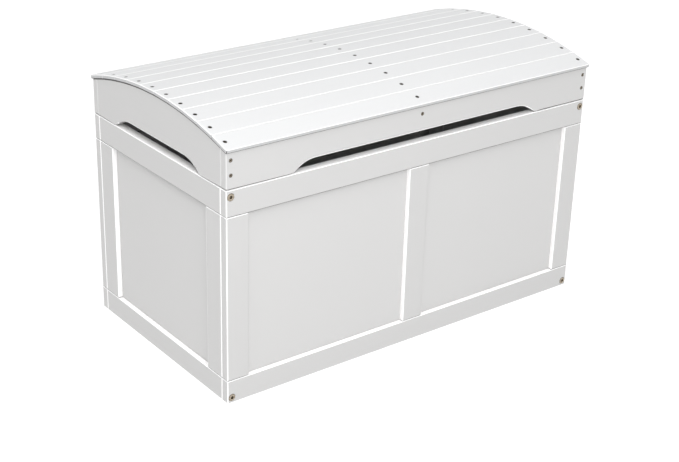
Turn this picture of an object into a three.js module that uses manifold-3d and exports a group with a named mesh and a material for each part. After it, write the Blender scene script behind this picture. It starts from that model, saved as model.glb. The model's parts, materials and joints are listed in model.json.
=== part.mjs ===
// A wooden toy chest: frame-and-panel box, arched lid of slats, two friction hinges and connector bolts.
// Millimetres. The origin is on the floor under the middle of the chest: +X to its right, -Y to its front, +Z up.

import * as THREE from "three";
import { mergeVertices } from "three/addons/utils/BufferGeometryUtils.js";
import Module from "manifold-3d";

const wasm = await Module();
wasm.setup();

// ---------------------------------------------------------------- driving dimensions

const OVERALL_LENGTH = 787.4;
const OVERALL_DEPTH = 431.8;
const OVERALL_HEIGHT = 482.6;

const BOX_LENGTH = 784;
const BOX_DEPTH = 422;
const BOX_HEIGHT = 381;
const BOARD = 17; // thickness of the rails and stiles of the box
const TOP_RAIL = 46;
const BOTTOM_RAIL = 42;
const STILE = 42;
const CENTRE_STILE = 43;
const END_STILE = 43;

const PANEL = 5.5; // thickness of a panel
const PANEL_RECESS = 8.5; // from the face of a frame back to its panel
const TONGUE = 6; // how far a panel's edge goes into its groove
const FIT = 0.3; // clearance round a piece that sits in a groove or a bore

const FLOOR_BOARD = 6;
const FLOOR_CLEARANCE = 1;
const CLEAT = 16;
const CLEAT_BOTTOM = 18;

const LID_GAP = 1; // between the box and the closed lid
const LID_BOARD = 15;
const RIB_BOTTOM = 404;
const SLAT_COUNT = 10;
const SLAT = 7; // thickness of a slat
const SLAT_GAP = 0.4;
const ARCH_RISE = 32.6; // from a long edge of the lid up to its crown

const FINGER_HEIGHT = 18;
const FINGER_SWEEP = 50; // length of the curve at each end of a finger cut-out
const FINGER_FOOT = 10; // reach of the curve's control points, from its lower and its upper end
const FINGER_SHOULDER = 30;
const FRONT_FINGER = 540; // length of a cut-out along the bottom edge of its board
const END_FINGER = 276;

const BOLT_HEAD_RADIUS = 6.5;
const BOLT_HEAD = 3;
const BOLT_RADIUS = 3;
const BOLT_LENGTH = 50;
const BOLT_SEAT = 2.5; // depth of the recess that the head sits in
const SOCKET_RADIUS = 2.9;
const SOCKET_DEPTH = 2;
const BOLT_FROM_TOP = 12;
const BOLT_FROM_BOTTOM = 10;
const BARREL_NUT_RADIUS = 5;
const BARREL_NUT_DEPTH = 13;
const BARREL_NUT_INSET = 30;

const SCREW_HEAD_RADIUS = 3.9;
const SCREW_SINK = 2.4; // depth of a countersink
const SCREW_ROW = 383; // from the middle of the lid out to the end rows of screws
const RAIL_SCREW_HEIGHTS = [405, 430];

const HINGE_PLACES = [-250, 250];
const HINGE_LENGTH = 60;
const HINGE_PLATE = 1.5;
const HINGE_DROP = 36; // how far a leaf runs down or up the inner face of its rail
const KNUCKLE_RADIUS = 3.75;
const KNUCKLE_BORE = 1.6;
const KNUCKLE_END = 15; // length of each of the box leaf's two knuckles
const KNUCKLE_GAP = 0.4;
const PIN_RADIUS = 1.5;
const PIN_HEAD_RADIUS = 2.6;
const PIN_HEAD = 1.5;
const HINGE_OUTSET = 1; // the pin stands this far behind the back face

// ---------------------------------------------------------------- worked out from them

const HALF_LENGTH = BOX_LENGTH / 2;
const HALF_DEPTH = BOX_DEPTH / 2;
const INNER_LENGTH = HALF_LENGTH - BOARD;
const INNER_DEPTH = HALF_DEPTH - BOARD;
const RAIL_UNDERSIDE = BOX_HEIGHT - TOP_RAIL;
const PANEL_BACK = PANEL_RECESS + PANEL;
const GROOVE_DEPTH = TONGUE + FIT;
const LID_BOTTOM = BOX_HEIGHT + LID_GAP;
const LID_INNER_DEPTH = HALF_DEPTH - LID_BOARD;
const FLOOR_BOTTOM = CLEAT_BOTTOM + CLEAT;

const HALF_OVERALL_DEPTH = OVERALL_DEPTH / 2;
const ARCH_RADIUS = (HALF_OVERALL_DEPTH ** 2 + ARCH_RISE ** 2) / (2 * ARCH_RISE);
const ARCH_CENTRE = OVERALL_HEIGHT - ARCH_RADIUS; // height of the arch's axis, far below the floor
const ARCH_HALF_ANGLE = Math.asin((HALF_OVERALL_DEPTH + SLAT_GAP / 2) / ARCH_RADIUS);
const SLAT_ANGLE = (2 * ARCH_HALF_ANGLE) / SLAT_COUNT;
const SLAT_WIDTH = 2 * ARCH_RADIUS * Math.sin(SLAT_ANGLE / 2) - SLAT_GAP;
const SLAT_TOP = ARCH_RADIUS * Math.cos(SLAT_ANGLE / 2); // from the arch's axis to a slat's upper face
const SLAT_UNDERSIDE = SLAT_TOP - SLAT;
const BEARING = SLAT_UNDERSIDE - FIT; // from the arch's axis to the edges that carry the slats

const PIN_Y = HALF_DEPTH + HINGE_OUTSET;
const PIN_Z = BOX_HEIGHT + LID_GAP / 2;
const HINGE_NOTCH = HINGE_LENGTH / 2 + FIT; // half the length of the notch for a hinge's plate
const KNUCKLE_NOTCH = HINGE_LENGTH / 2 + PIN_HEAD + 0.5;

// ---------------------------------------------------------------- materials

const finish = (colour, roughness, metalness) =>
  new THREE.MeshStandardMaterial({ color: colour, roughness, metalness });

const PAINT = finish(0xf2f2f0, 0.38, 0);
const SLAT_PAINT = finish(0xf7f7f7, 0.35, 0);
const PANEL_PAINT = finish(0xeeeeec, 0.4, 0);
const INSIDE_PAINT = finish(0xe9e9e6, 0.5, 0);
const BRONZE = finish(0x6b5a41, 0.45, 0.9);
const STEEL = finish(0x9a9a98, 0.35, 0.9);

// ---------------------------------------------------------------- solids

/** A closed geometry as a manifold solid, ready to cut or join. */
function solidOf(geometry) {
  const bare = geometry.clone();
  bare.deleteAttribute("normal");
  bare.deleteAttribute("uv");
  const merged = mergeVertices(bare, 1e-4);
  return new wasm.Manifold(
    new wasm.Mesh({
      numProp: 3,
      vertProperties: merged.attributes.position.array,
      triVerts: new Uint32Array(merged.index.array),
    }),
  );
}

/** A manifold solid as a geometry. */
function geometryOf(solid) {
  const mesh = solid.getMesh();
  const geometry = new THREE.BufferGeometry();
  geometry.setAttribute("position", new THREE.BufferAttribute(mesh.vertProperties, 3));
  geometry.setIndex(new THREE.BufferAttribute(mesh.triVerts, 1));
  geometry.computeVertexNormals();
  return geometry;
}

/** A geometry with each of the cutters taken out of it. */
function cut(geometry, cutters) {
  let solid = solidOf(geometry);
  for (const cutter of cutters) {
    solid = solid.subtract(solidOf(cutter));
  }
  return geometryOf(solid);
}

/** A rectangular block between two opposite corners, given in any order. */
function block(a, b) {
  const size = a.map((value, i) => Math.abs(b[i] - value));
  const middle = a.map((value, i) => (value + b[i]) / 2);
  return new THREE.BoxGeometry(...size).translate(...middle);
}

/** A solid of revolution about the line through `from` along `direction`; points are [distance, radius]. */
function turned(points, from, direction, sides = 16) {
  const outline = points.map(([distance, radius]) => new THREE.Vector2(radius, distance));
  const geometry = new THREE.LatheGeometry(outline, sides);
  const turn = new THREE.Quaternion().setFromUnitVectors(
    new THREE.Vector3(0, 1, 0),
    new THREE.Vector3(...direction),
  );
  return geometry.applyQuaternion(turn).translate(...from);
}

/** A round bore or peg. */
function round(radius, from, direction, length, sides = 16) {
  return turned([[0, 0], [0, radius], [length, radius], [length, 0]], from, direction, sides);
}

/** The cone that a countersunk screw head sits in, sunk from a face into the wood behind it. */
function countersink(at, inward) {
  const above = 1;
  const slope = (SCREW_HEAD_RADIUS - 1.5) / SCREW_SINK;
  const start = at.map((value, i) => value - inward[i] * above);
  return turned(
    [
      [0, 0],
      [0, SCREW_HEAD_RADIUS + slope * above],
      [above + SCREW_SINK, 1.5],
      [above + SCREW_SINK, 0],
    ],
    start,
    inward,
    12,
  );
}

/** An outline in two coordinates, thickened from `near` to `far` and set in the chest by `place`. */
function plate(outline, near, far, place, curveSegments = 8) {
  const settings = { depth: Math.abs(far - near), bevelEnabled: false, curveSegments };
  const geometry = new THREE.ExtrudeGeometry(outline, settings);
  const position = geometry.attributes.position;
  for (let i = 0; i < position.count; i += 1) {
    const along = position.getZ(i) + Math.min(near, far);
    position.setXYZ(i, ...place(position.getX(i), position.getY(i), along));
  }
  return geometry;
}

// A plate's outline is drawn in (y, z) and thickened along x, or drawn in (-x, z) and thickened along y.
// Both ways keep its faces pointing outwards.
const acrossLength = (y, z, x) => [x, y, z];
const acrossDepth = (mirroredX, z, y) => [-mirroredX, y, z];

const chest = new THREE.Group();

/** Adds one named piece of the chest. */
function addPiece(name, geometry, material, parent = chest) {
  const mesh = new THREE.Mesh(geometry, material);
  mesh.name = name;
  parent.add(mesh);
}

// ---------------------------------------------------------------- the four walls of the box

// A wall's own coordinates are: u along it, w inwards from its outer face, and z up.
const WALLS = {
  front: { at: (u, w, z) => [u, -HALF_DEPTH + w, z], inward: [0, 1, 0] },
  back: { at: (u, w, z) => [u, HALF_DEPTH - w, z], inward: [0, -1, 0] },
  left: { at: (u, w, z) => [-HALF_LENGTH + w, u, z], inward: [1, 0, 0] },
  right: { at: (u, w, z) => [HALF_LENGTH - w, u, z], inward: [-1, 0, 0] },
};

/** A block in a wall's own coordinates. */
const wallBlock = (wall, a, b) => block(wall.at(...a), wall.at(...b));

/** The groove round one panel, as a block a little larger than the panel. */
function grooveOf(wall, [u0, u1]) {
  return wallBlock(
    wall,
    [u0 - GROOVE_DEPTH, PANEL_RECESS - FIT, BOTTOM_RAIL - GROOVE_DEPTH],
    [u1 + GROOVE_DEPTH, PANEL_BACK + FIT, RAIL_UNDERSIDE + GROOVE_DEPTH],
  );
}

/** Rails, stiles and panels of one wall. `stiles` are [name, start, end]; the panels fill the bays between. */
function addWall(name, halfWidth, stiles, railCutters) {
  const wall = WALLS[name];
  const bays = stiles.slice(1).map((stile, i) => [stiles[i][2], stile[1]]);
  const grooves = bays.map((bay) => grooveOf(wall, bay));
  const rail = (z0, z1) => wallBlock(wall, [-halfWidth, 0, z0], [halfWidth, BOARD, z1]);

  const topRail = cut(rail(RAIL_UNDERSIDE, BOX_HEIGHT), [...grooves, ...railCutters.top]);
  const bottomRail = cut(rail(0, BOTTOM_RAIL), [...grooves, ...railCutters.bottom]);
  addPiece(`${name}_top_rail`, topRail, PAINT);
  addPiece(`${name}_bottom_rail`, bottomRail, PAINT);

  for (const [stileName, u0, u1] of stiles) {
    const stile = wallBlock(wall, [u0, 0, BOTTOM_RAIL], [u1, BOARD, RAIL_UNDERSIDE]);
    addPiece(`${name}_${stileName}_stile`, cut(stile, grooves), PAINT);
  }

  const panelNames = bays.length > 1 ? [`${name}_left_panel`, `${name}_right_panel`] : [`${name}_panel`];
  bays.forEach(([u0, u1], i) => {
    const panel = wallBlock(
      wall,
      [u0 - TONGUE, PANEL_RECESS, BOTTOM_RAIL - TONGUE],
      [u1 + TONGUE, PANEL_BACK, RAIL_UNDERSIDE + TONGUE],
    );
    addPiece(panelNames[i], panel, PANEL_PAINT);
  });
}

// The bolts run along the chest's depth, down the middle of each end's thickness.
const BOLT_X = HALF_LENGTH - BOARD / 2;
const BOLT_HEIGHTS = { top: BOX_HEIGHT - BOLT_FROM_TOP, bottom: BOLT_FROM_BOTTOM };

/** Head recess and clearance bore of the two bolts that pass through one rail of a long wall. */
function boltHoles(wall, height) {
  return [-BOLT_X, BOLT_X].map((u) =>
    turned(
      [
        [0, 0],
        [0, BOLT_HEAD_RADIUS + FIT],
        [1 + BOLT_SEAT, BOLT_HEAD_RADIUS + FIT],
        [1 + BOLT_SEAT, BOLT_RADIUS + FIT],
        [BOARD + 2, BOLT_RADIUS + FIT],
        [BOARD + 2, 0],
      ],
      wall.at(u, -1, height),
      wall.inward,
    ),
  );
}

/** Bores of the two bolts that end in one rail of an end wall, and the cross holes of their barrel nuts. */
function endRailHoles(wall, height) {
  const middle = BOARD / 2;
  const length = BOLT_LENGTH + BOLT_SEAT - BOARD + 1;
  return [-1, 1].flatMap((side) => [
    round(BOLT_RADIUS + FIT, wall.at(side * (INNER_DEPTH + 1), middle, height), [0, -side, 0], length + 1),
    round(
      BARREL_NUT_RADIUS,
      wall.at(side * (INNER_DEPTH - BARREL_NUT_INSET), BOARD + 1, height),
      wall.inward.map((value) => -value),
      BARREL_NUT_DEPTH + 1,
    ),
  ]);
}

/** The notch along the top of the back rail that one hinge lies in: its plate, and round its knuckles and pin. */
function boxHingeNotch(x) {
  return [
    block(
      [x - HINGE_NOTCH, INNER_DEPTH - 1, BOX_HEIGHT - HINGE_PLATE],
      [x + HINGE_NOTCH, HALF_DEPTH + 1, BOX_HEIGHT + 1],
    ),
    block(
      [x - KNUCKLE_NOTCH, PIN_Y - KNUCKLE_RADIUS - FIT, BOX_HEIGHT - KNUCKLE_RADIUS],
      [x + KNUCKLE_NOTCH, HALF_DEPTH + 1, BOX_HEIGHT + 1],
    ),
  ];
}

const sideStiles = [
  ["left", -HALF_LENGTH, -HALF_LENGTH + STILE],
  ["centre", -CENTRE_STILE / 2, CENTRE_STILE / 2],
  ["right", HALF_LENGTH - STILE, HALF_LENGTH],
];
const endStiles = [
  ["front", -INNER_DEPTH, -INNER_DEPTH + END_STILE],
  ["rear", INNER_DEPTH - END_STILE, INNER_DEPTH],
];

addWall("front", HALF_LENGTH, sideStiles, {
  top: boltHoles(WALLS.front, BOLT_HEIGHTS.top),
  bottom: boltHoles(WALLS.front, BOLT_HEIGHTS.bottom),
});
addWall("back", HALF_LENGTH, sideStiles, {
  top: [...boltHoles(WALLS.back, BOLT_HEIGHTS.top), ...HINGE_PLACES.flatMap(boxHingeNotch)],
  bottom: boltHoles(WALLS.back, BOLT_HEIGHTS.bottom),
});
for (const name of ["left", "right"]) {
  addWall(name, INNER_DEPTH, endStiles, {
    top: endRailHoles(WALLS[name], BOLT_HEIGHTS.top),
    bottom: endRailHoles(WALLS[name], BOLT_HEIGHTS.bottom),
  });
}

// ---------------------------------------------------------------- the floor and its cleats

function addFloor() {
  const top = FLOOR_BOTTOM;
  for (const side of [-1, 1]) {
    const longCleat = block(
      [-INNER_LENGTH + CLEAT, side * INNER_DEPTH, CLEAT_BOTTOM],
      [INNER_LENGTH - CLEAT, side * (INNER_DEPTH - CLEAT), top],
    );
    const endCleat = block(
      [side * INNER_LENGTH, -INNER_DEPTH, CLEAT_BOTTOM],
      [side * (INNER_LENGTH - CLEAT), INNER_DEPTH, top],
    );
    addPiece(side < 0 ? "front_floor_cleat" : "back_floor_cleat", longCleat, INSIDE_PAINT);
    addPiece(side < 0 ? "left_floor_cleat" : "right_floor_cleat", endCleat, INSIDE_PAINT);
  }
  const halfLength = INNER_LENGTH - FLOOR_CLEARANCE;
  const halfDepth = INNER_DEPTH - FLOOR_CLEARANCE;
  const board = block([-halfLength, -halfDepth, top], [halfLength, halfDepth, top + FLOOR_BOARD]);
  addPiece("floor_board", board, INSIDE_PAINT);
}

// ---------------------------------------------------------------- connector bolts

/** A round bolt head with a hexagon socket, on a plain shank. */
function boltGeometry(wall, u, height) {
  const proud = BOLT_HEAD - BOLT_SEAT;
  const bolt = turned(
    [
      [0, 0],
      [0, BOLT_HEAD_RADIUS - 0.8],
      [0.8, BOLT_HEAD_RADIUS],
      [BOLT_HEAD, BOLT_HEAD_RADIUS],
      [BOLT_HEAD, BOLT_RADIUS],
      [BOLT_HEAD + BOLT_LENGTH, BOLT_RADIUS],
      [BOLT_HEAD + BOLT_LENGTH, 0],
    ],
    wall.at(u, -proud, height),
    wall.inward,
  );
  const socket = round(SOCKET_RADIUS, wall.at(u, -proud - 1, height), wall.inward, SOCKET_DEPTH + 1, 6);
  return cut(bolt, [socket]);
}

function addBolts() {
  for (const wallName of ["front", "back"]) {
    for (const [level, height] of Object.entries(BOLT_HEIGHTS)) {
      for (const [side, u] of [["left", -BOLT_X], ["right", BOLT_X]]) {
        const name = `${wallName}_${level}_${side}_bolt`;
        addPiece(name, boltGeometry(WALLS[wallName], u, height), BRONZE);
      }
    }
  }
}

// ---------------------------------------------------------------- the lid

/** Traces a finger cut-out along a straight bottom edge, from -half to +half: up one sweep, along, and down. */
function traceFingerCut(outline, length, bottom) {
  const half = length / 2;
  const flat = half - FINGER_SWEEP;
  const foot = half - FINGER_FOOT;
  const shoulder = flat + FINGER_SHOULDER;
  const top = bottom + FINGER_HEIGHT;
  outline.lineTo(-half, bottom);
  outline.bezierCurveTo(-foot, bottom, -shoulder, top, -flat, top);
  outline.lineTo(flat, top);
  outline.bezierCurveTo(shoulder, top, foot, bottom, half, bottom);
}

/** Height of the slats' bearing edge over a long rail, at a distance in from the middle of the chest. */
function bearingOverRail(distance) {
  const tilt = ARCH_HALF_ANGLE - SLAT_ANGLE / 2;
  return ARCH_CENTRE + (BEARING - distance * Math.sin(tilt)) / Math.cos(tilt);
}

/** A long rail of the lid, its top edge bevelled to the slat that it carries. */
function lidRail(side) {
  const outer = side * HALF_DEPTH;
  const inner = side * LID_INNER_DEPTH;
  const section = new THREE.Shape([
    new THREE.Vector2(outer, LID_BOTTOM),
    new THREE.Vector2(outer, bearingOverRail(HALF_DEPTH)),
    new THREE.Vector2(inner, bearingOverRail(LID_INNER_DEPTH)),
    new THREE.Vector2(inner, LID_BOTTOM),
  ]);
  return plate(section, -HALF_LENGTH, HALF_LENGTH, acrossLength);
}

/** Countersinks for the screws that hold a lid rail to the end boards and the rib. */
function railScrewHoles(side) {
  const inward = [0, -side, 0];
  const face = side * HALF_DEPTH;
  const corners = [-SCREW_ROW, SCREW_ROW].flatMap((x) =>
    RAIL_SCREW_HEIGHTS.map((z) => countersink([x, face, z], inward)),
  );
  return [...corners, countersink([0, face, RAIL_SCREW_HEIGHTS[1]], inward)];
}

/** The long finger cut-out, as a block that passes right through the front rail. */
function frontFingerCutter() {
  const beyond = 5;
  const outline = new THREE.Shape();
  outline.moveTo(-FRONT_FINGER / 2, LID_BOTTOM - beyond);
  traceFingerCut(outline, FRONT_FINGER, LID_BOTTOM);
  outline.lineTo(FRONT_FINGER / 2, LID_BOTTOM - beyond);
  return plate(outline, -HALF_DEPTH - beyond, -LID_INNER_DEPTH + beyond, acrossDepth);
}

/** The notch under the lid's back rail that one hinge lies in. */
function lidHingeNotch(x) {
  return [
    block(
      [x - HINGE_NOTCH, LID_INNER_DEPTH - 1, LID_BOTTOM - 1],
      [x + HINGE_NOTCH, HALF_DEPTH + 1, LID_BOTTOM + HINGE_PLATE],
    ),
    block(
      [x - KNUCKLE_NOTCH, PIN_Y - KNUCKLE_RADIUS - FIT, LID_BOTTOM - 1],
      [x + KNUCKLE_NOTCH, HALF_DEPTH + 1, LID_BOTTOM + KNUCKLE_RADIUS],
    ),
  ];
}

/** A board across the lid with an arched top that follows the underside of the slats. */
function archedBoard(bottom, x0, x1, fingerLength) {
  const half = LID_INNER_DEPTH;
  const spring = Math.asin(half / BEARING);
  const outline = new THREE.Shape();
  outline.moveTo(-half, bottom);
  if (fingerLength > 0) {
    traceFingerCut(outline, fingerLength, bottom);
  }
  outline.lineTo(half, bottom);
  outline.lineTo(half, ARCH_CENTRE + BEARING * Math.cos(spring));
  outline.absarc(0, ARCH_CENTRE, BEARING, Math.PI / 2 - spring, Math.PI / 2 + spring, false);
  return plate(outline, x0, x1, acrossLength, 16);
}

/** One slat, lying flat with the middle of its upper face at the origin. Its sides lean in, like a stave's. */
function slatGeometry() {
  const half = SLAT_WIDTH / 2;
  const lean = SLAT * Math.tan(SLAT_ANGLE / 2);
  const section = new THREE.Shape([
    new THREE.Vector2(-half, 0),
    new THREE.Vector2(-half + lean, -SLAT),
    new THREE.Vector2(half - lean, -SLAT),
    new THREE.Vector2(half, 0),
  ]);
  const slat = plate(section, -OVERALL_LENGTH / 2, OVERALL_LENGTH / 2, acrossLength);
  const holes = [-SCREW_ROW, 0, SCREW_ROW].map((x) => countersink([x, 0, 0], [0, 0, -1]));
  return cut(slat, holes);
}

function addSlats() {
  const arch = new THREE.Group();
  arch.position.z = ARCH_CENTRE;
  chest.add(arch);
  for (let i = 0; i < SLAT_COUNT; i += 1) {
    const place = new THREE.Group();
    place.rotation.x = ARCH_HALF_ANGLE - SLAT_ANGLE * (i + 0.5);
    const carrier = new THREE.Group();
    carrier.position.z = SLAT_TOP;
    place.add(carrier);
    arch.add(place);
    addPiece(`slat_${String(i + 1).padStart(2, "0")}`, slatGeometry(), SLAT_PAINT, carrier);
  }
}

function addLid() {
  addPiece("lid_front_rail", cut(lidRail(-1), [frontFingerCutter(), ...railScrewHoles(-1)]), PAINT);
  const backCutters = [...HINGE_PLACES.flatMap(lidHingeNotch), ...railScrewHoles(1)];
  addPiece("lid_back_rail", cut(lidRail(1), backCutters), PAINT);
  addPiece("lid_left_end", archedBoard(LID_BOTTOM, -HALF_LENGTH, -HALF_LENGTH + LID_BOARD, END_FINGER), PAINT);
  addPiece("lid_right_end", archedBoard(LID_BOTTOM, HALF_LENGTH - LID_BOARD, HALF_LENGTH, END_FINGER), PAINT);
  addPiece("lid_centre_rib", archedBoard(RIB_BOTTOM, -LID_BOARD / 2, LID_BOARD / 2, 0), INSIDE_PAINT);
  addSlats();
}

// ---------------------------------------------------------------- hinges

/** The bent strip of one leaf and its knuckle tube, as a section in (y, z). `up` is 1 for the lid leaf. */
function leafSection(up) {
  const face = up > 0 ? LID_BOTTOM : BOX_HEIGHT; // the leaf's side that meets the other leaf
  const inner = up > 0 ? LID_INNER_DEPTH : INNER_DEPTH;
  const outline = [
    [PIN_Y, face],
    [inner - HINGE_PLATE, face],
    [inner - HINGE_PLATE, face + up * HINGE_DROP],
    [inner, face + up * HINGE_DROP],
    [inner, face + up * HINGE_PLATE],
    [PIN_Y, face + up * HINGE_PLATE],
  ].map(([y, z]) => new THREE.Vector2(y, z));
  return new THREE.Shape(outline);
}

/** The strip and the tube joined, with the pin's bore and the other leaf's knuckles taken out. */
function leafGeometry(x, up) {
  const half = HINGE_LENGTH / 2;
  const middle = half - KNUCKLE_END;
  const strip = plate(leafSection(up), x - half, x + half, acrossLength);
  const tube = round(KNUCKLE_RADIUS, [x - half, PIN_Y, PIN_Z], [1, 0, 0], HINGE_LENGTH, 20);
  const bore = round(KNUCKLE_BORE, [x - half - 1, PIN_Y, PIN_Z], [1, 0, 0], HINGE_LENGTH + 2, 20);
  const reach = KNUCKLE_RADIUS + KNUCKLE_GAP;
  const clear = (x0, x1) =>
    block([x0, PIN_Y - reach, PIN_Z - reach], [x1, PIN_Y + reach, PIN_Z + reach]);
  const others =
    up > 0
      ? [
          clear(x - half - 1, x - middle + KNUCKLE_GAP / 2),
          clear(x + middle - KNUCKLE_GAP / 2, x + half + 1),
        ]
      : [clear(x - middle - KNUCKLE_GAP / 2, x + middle + KNUCKLE_GAP / 2)];
  let solid = solidOf(strip).add(solidOf(tube));
  for (const cutter of [bore, ...others]) {
    solid = solid.subtract(solidOf(cutter));
  }
  return geometryOf(solid);
}

/** A plain pin with a low head at each end, just outside the knuckles. */
function pinGeometry(x) {
  const half = HINGE_LENGTH / 2 + 0.2;
  return turned(
    [
      [0, 0],
      [0, PIN_HEAD_RADIUS],
      [PIN_HEAD, PIN_HEAD_RADIUS],
      [PIN_HEAD, PIN_RADIUS],
      [PIN_HEAD + 2 * half, PIN_RADIUS],
      [PIN_HEAD + 2 * half, PIN_HEAD_RADIUS],
      [2 * PIN_HEAD + 2 * half, PIN_HEAD_RADIUS],
      [2 * PIN_HEAD + 2 * half, 0],
    ],
    [x - half - PIN_HEAD, PIN_Y, PIN_Z],
    [1, 0, 0],
    20,
  );
}

function addHinges() {
  for (const x of HINGE_PLACES) {
    const side = x < 0 ? "left" : "right";
    addPiece(`${side}_hinge_box_leaf`, leafGeometry(x, -1), STEEL);
    addPiece(`${side}_hinge_lid_leaf`, leafGeometry(x, 1), STEEL);
    addPiece(`${side}_hinge_pin`, pinGeometry(x), STEEL);
  }
}

addFloor();
addBolts();
addLid();
addHinges();

export default chest;
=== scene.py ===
"""A painted wooden toy chest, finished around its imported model.

The chest stands on the floor at z = 0 with its middle at the origin: +X runs to its right, -Y to its front
and +Z up. Lengths are metres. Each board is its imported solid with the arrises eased, and the fastenings are
made here.
"""

import json
import math
from functools import partial

import bmesh
import bpy
from mathutils import Matrix, Vector


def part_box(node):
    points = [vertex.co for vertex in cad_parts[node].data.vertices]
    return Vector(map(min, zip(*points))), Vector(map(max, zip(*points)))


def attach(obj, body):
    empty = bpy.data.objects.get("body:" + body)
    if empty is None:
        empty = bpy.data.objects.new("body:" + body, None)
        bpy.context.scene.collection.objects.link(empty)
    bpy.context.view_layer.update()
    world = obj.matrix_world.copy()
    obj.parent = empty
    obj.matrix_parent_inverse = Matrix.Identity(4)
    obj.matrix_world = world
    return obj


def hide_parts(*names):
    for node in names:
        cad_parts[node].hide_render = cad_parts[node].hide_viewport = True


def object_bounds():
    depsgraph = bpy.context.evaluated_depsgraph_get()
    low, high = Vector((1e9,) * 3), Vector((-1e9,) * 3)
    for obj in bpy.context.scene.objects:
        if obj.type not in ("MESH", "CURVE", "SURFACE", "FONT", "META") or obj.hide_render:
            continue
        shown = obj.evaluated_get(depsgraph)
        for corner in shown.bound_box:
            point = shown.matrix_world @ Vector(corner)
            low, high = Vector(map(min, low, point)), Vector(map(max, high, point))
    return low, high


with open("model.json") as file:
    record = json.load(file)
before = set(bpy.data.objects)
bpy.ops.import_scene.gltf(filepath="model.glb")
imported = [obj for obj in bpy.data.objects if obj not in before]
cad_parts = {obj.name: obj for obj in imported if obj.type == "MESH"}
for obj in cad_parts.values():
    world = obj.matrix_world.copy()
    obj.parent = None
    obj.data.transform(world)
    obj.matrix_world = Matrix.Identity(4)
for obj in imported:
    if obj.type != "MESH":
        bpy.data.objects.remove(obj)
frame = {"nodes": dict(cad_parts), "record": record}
PACKED_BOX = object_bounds()
NODES = frame["nodes"]
WALL_FACES = Vector((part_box("front_top_rail")[1].x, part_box("back_top_rail")[1].y, 0))
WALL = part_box("front_top_rail")[1].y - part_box("front_top_rail")[0].y
CHEST_MIDDLE = PACKED_BOX[1].z / 2
MM = 0.001

# ---------------------------------------------------------------- view and light

CAMERA_PLACE = Vector((-1.476, -1.893, 1.232))
CAMERA_HEADING = math.radians(-37.84)
CAMERA_TILT = math.radians(24.59)
CAMERA_ROLL = math.radians(1.655)
CAMERA_LENS = 74.8
SENSOR_WIDTH = 36.0

OVERHEAD_TOWARDS = Vector((-0.11, -0.04, 0.99))
OVERHEAD_LEVEL = 1.0
OVERHEAD_SPREAD = math.radians(85)
FRONT_SOFTBOX_PLACE = Vector((-1.0, -1.75, 1.5))
FRONT_SOFTBOX_SIZE = 1.1
FRONT_SOFTBOX_POWER = 23.0
SKY_LEVEL = 0.05
HORIZON_LEVEL = 1.0
HORIZON_TOP = math.sin(math.radians(9))
SKY_FROM = math.sin(math.radians(18))
FLOOR_RADIUS = 14.0
FLOOR_DROP = 0.3 * MM
FLOOR_LEVELS = (0.2, 0.22)
FLOOR_GLOW = 0.86

# ---------------------------------------------------------------- easing of the edges

BOARD_EASE = 1.4 * MM
LID_BOARD_EASE = 1.4 * MM
SLAT_EASE = 1.3 * MM
PANEL_EASE = 0.4 * MM
PLATE_EASE = 0.25 * MM
EASE_STEPS = 3
SHORTEST_EASED_EDGE = 5 * MM
SHORTEST_PLATE_EDGE = 1.2 * MM
SHARPEST_UNEASED = math.radians(35)
ON_THE_BOX = 0.05 * MM  # how close an edge or face lies to a box to count as part of its outside
SQUARE_ON = 0.9  # a face looks straight along an axis if its normal does so at least this much
SLAT_FACE = 0.8  # a slat's upper face and underside look up or down more than this, and its sides less
BAY_UNDERSIDE = -0.5  # a frame piece's underside looks down more than this
BAY_RIGHT = 0.1  # an arris looks to the right if its normal does so more than this
SEAM_LOOKS_DOWN = -0.2  # an arris that looks down more than this is painted dark, as the shade on the lower side of a joint
FOOT = 4 * MM  # the lowest arrises, against the floor, aren't joints and aren't painted dark
LID_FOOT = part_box("lid_front_rail")[0].z
END_ARRIS = 0.25  # how strong the painted highlight is on the upright arrises at the ends of a rail or lid board
UPRIGHT = 0.2  # an arris is upright if it looks up or down less than this

# ---------------------------------------------------------------- fastenings

SLAT_COUNT = 10
SCREW_ROWS = (-0.383, 0.0, 0.383)
RAIL_SCREW_HEIGHTS = (0.405, 0.430)
ARCH_RISE = 32.6 * MM

SCREW_HEAD_RADIUS = 3.7 * MM
SCREW_HEAD_DEPTH = 2.3 * MM
SCREW_SHANK_RADIUS = 1.4 * MM
SCREW_LENGTH = 30 * MM
SCREW_BELOW_FACE = 0.35 * MM
CROSS_REACH = 2.1 * MM
CROSS_WIDTH = 0.62 * MM
CROSS_DEPTH = 1.5 * MM

BOLT_HEAD_DEPTH = 3 * MM
BOLT_SHANK_RADIUS = 3 * MM
WORN_GLINT_DEPTH = 0.25 * MM  # the plating is worn, and a glint is painted, on faces no further below the head's face than this
WORN_GLINT_FACING = 0.97  # and on faces that look straight out of it at least this much
SOCKET_RADIUS = 2.9 * MM
SOCKET_DEPTH = 2.0 * MM
THREAD_PITCH = 1.0 * MM
THREAD_DEPTH = 0.35 * MM
THREAD_LENGTH = 24 * MM

BARREL_NUT_RADIUS = 4.85 * MM
BARREL_NUT_LENGTH = 12 * MM
BARREL_NUT_INSET = 30 * MM
BARREL_NUT_BELOW_FACE = 0.8 * MM

HINGE_SCREWS_ALONG = (-21 * MM, 0.0, 21 * MM)
HINGE_SCREW_LEVEL = 0.33  # share of a leaf's height between the flap's free edge and its screws
HINGE_SCREW_LENGTH = 0.4 * SCREW_LENGTH
HINGE_SCREW_PROUD = 0.45 * MM
CLEAT_SCREW_SPACING = 0.18
CLEAT_END_MARGINS = 0.08  # both ends of a cleat together


# ---------------------------------------------------------------- node trees


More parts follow.
